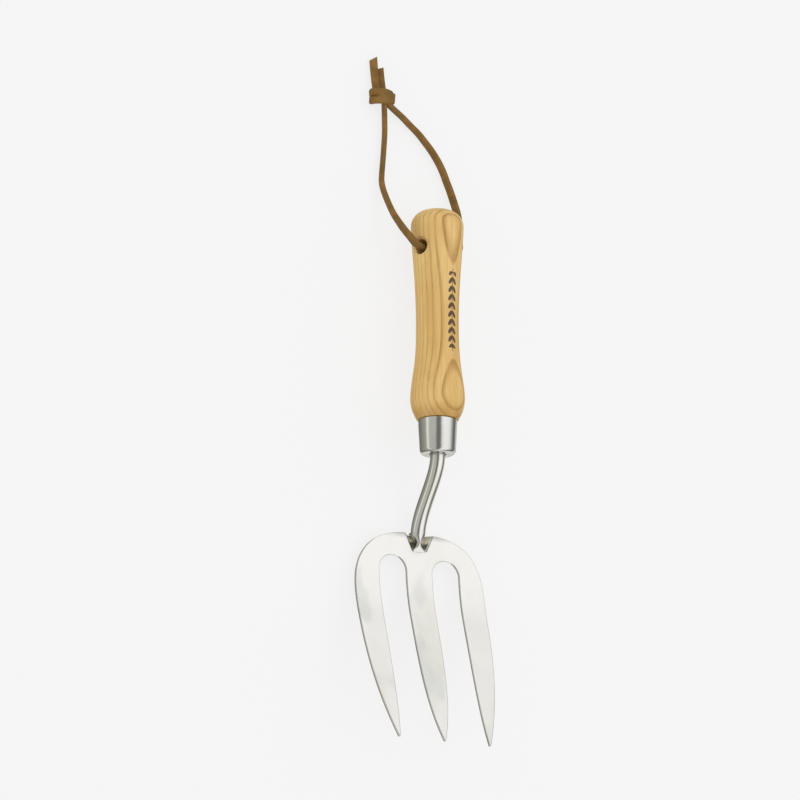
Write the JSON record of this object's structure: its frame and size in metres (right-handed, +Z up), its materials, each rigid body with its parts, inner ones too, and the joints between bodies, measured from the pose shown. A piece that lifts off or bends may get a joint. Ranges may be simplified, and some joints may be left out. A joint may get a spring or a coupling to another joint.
{
  "type": "garden hand fork",
  "caption": "Hand fork: polished steel head with flat curved tines on a swan neck, steel ferrule, turned ash handle and a knotted leather hanging loop.",
  "frame": {"origin": "on the surface the tool lies on, under the middle of the tool without its thong", "axes": "+X across the head, +Y along the tool towards the butt of the handle, +Z up, out of the hollow side of the head"},
  "size_m": [0.088, 0.413, 0.0479],
  "materials": {
    "polished_steel": "polished stainless steel",
    "ash": "oiled ash, fine grain along the handle",
    "resin": "cured epoxy",
    "leather": "waxed brown lace"
  },
  "bodies": {
    "tool": {"fork_head": "polished_steel", "neck_stem": "polished_steel", "head_weld": "polished_steel", "ferrule": "polished_steel", "handle": "ash", "tang_adhesive": "resin"},
    "thong": {"thong_left_strand": "leather", "thong_right_strand": "leather", "thong_knot": "leather", "thong_long_tail": "leather", "thong_short_tail": "leather"}
  },
  "joints": [
    {"name": "thong_swing", "type": "hinge", "parent": "tool", "child": "thong", "pos_m": [0, 0.13574, 0.01692], "axis": [0.9613, -0.0209, -0.2748], "range_deg": [-150, 165]}
  ]
}
